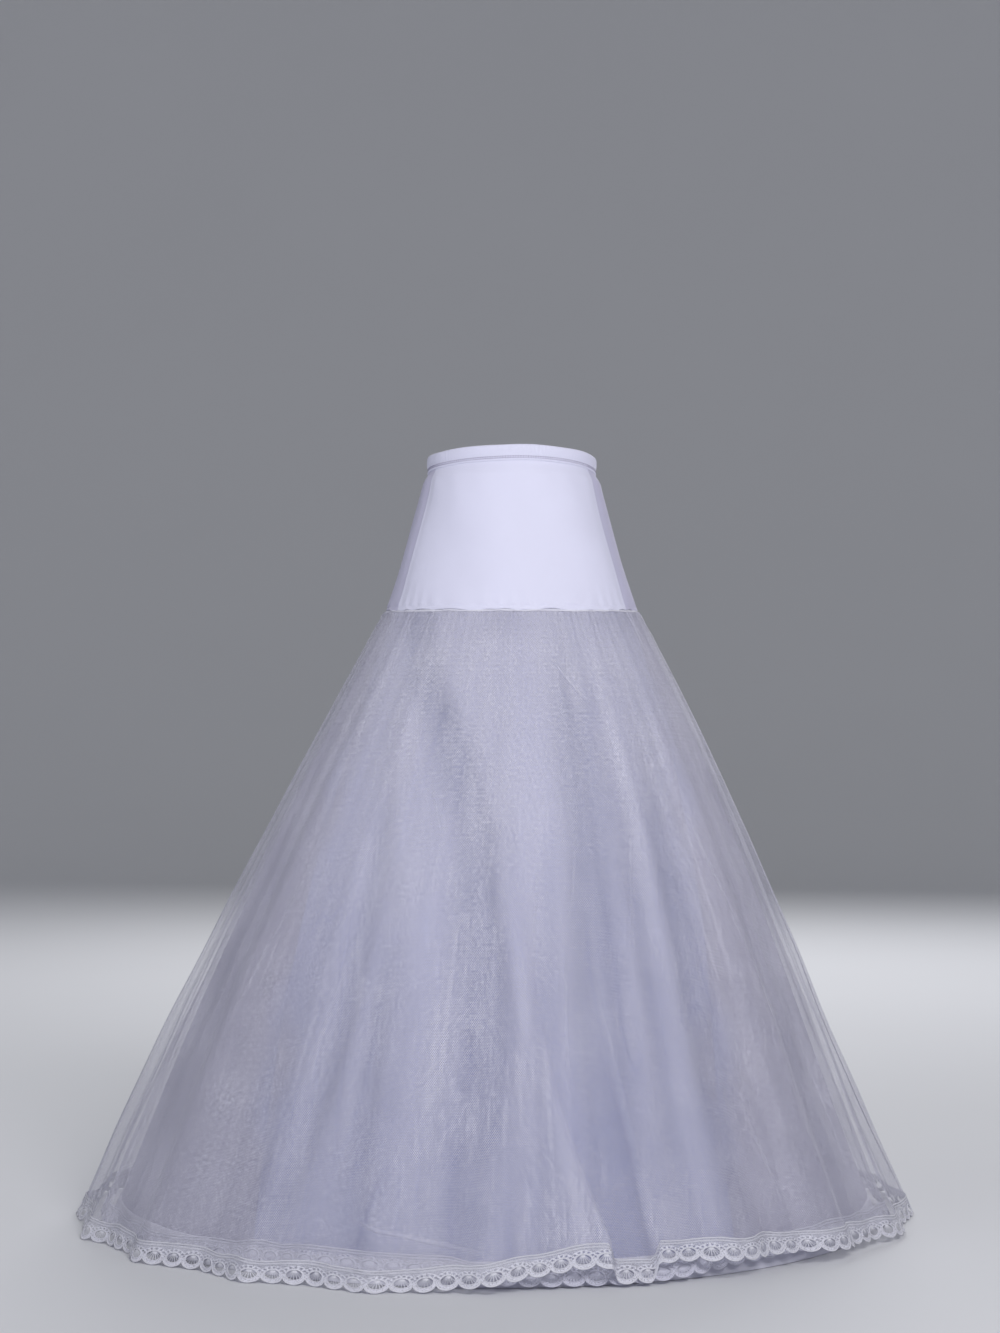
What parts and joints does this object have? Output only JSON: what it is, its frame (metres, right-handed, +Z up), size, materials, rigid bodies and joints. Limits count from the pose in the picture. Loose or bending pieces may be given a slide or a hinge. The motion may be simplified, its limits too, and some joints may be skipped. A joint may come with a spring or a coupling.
{
  "type": "crinoline petticoat",
  "caption": "White A-line hooped petticoat with an elastic waist, a smooth stretch yoke, a lining on a hem hoop and sheer net overskirts edged with scalloped lace.",
  "frame": {"origin": "on the floor under the middle of the outer lace hem's outline", "axes": "+Z up through the waist, the front of the skirt faces -Y, +X to the right as seen from the front"},
  "size_m": [1.1628, 1.153, 1.0663],
  "materials": {
    "stretch_knit": "smooth, fine-ribbed stretch knit",
    "elastic": "ribbed woven elastic",
    "seam_thread": "overlocked thread",
    "taffeta_cool": "plain woven taffeta, cool white",
    "taffeta_warm": "plain woven taffeta, warm white",
    "casing_satin": "smooth satin tape",
    "coated_steel": "white plastic coating on spring steel",
    "crimp_steel": "pressed sleeve",
    "net": "fine hexagonal net, see-through",
    "lace": "corded lace with eyelets"
  },
  "bodies": {
    "root": {"waistband_casing": "stretch_knit", "waist_elastic": "elastic", "yoke_front": "stretch_knit", "yoke_back": "stretch_knit", "hip_seam": "seam_thread", "lining_front_gore": "taffeta_cool", "lining_right_gore": "taffeta_warm", "lining_back_gore": "taffeta_cool", "lining_left_gore": "taffeta_warm", "hoop_casing": "casing_satin", "hoop_strip": "coated_steel", "hoop_joiner": "crimp_steel", "inner_net_front": "net", "inner_net_back": "net", "inner_lace": "lace", "outer_net_front": "net", "outer_net_back": "net", "outer_lace": "lace"}
  },
  "joints": []
}
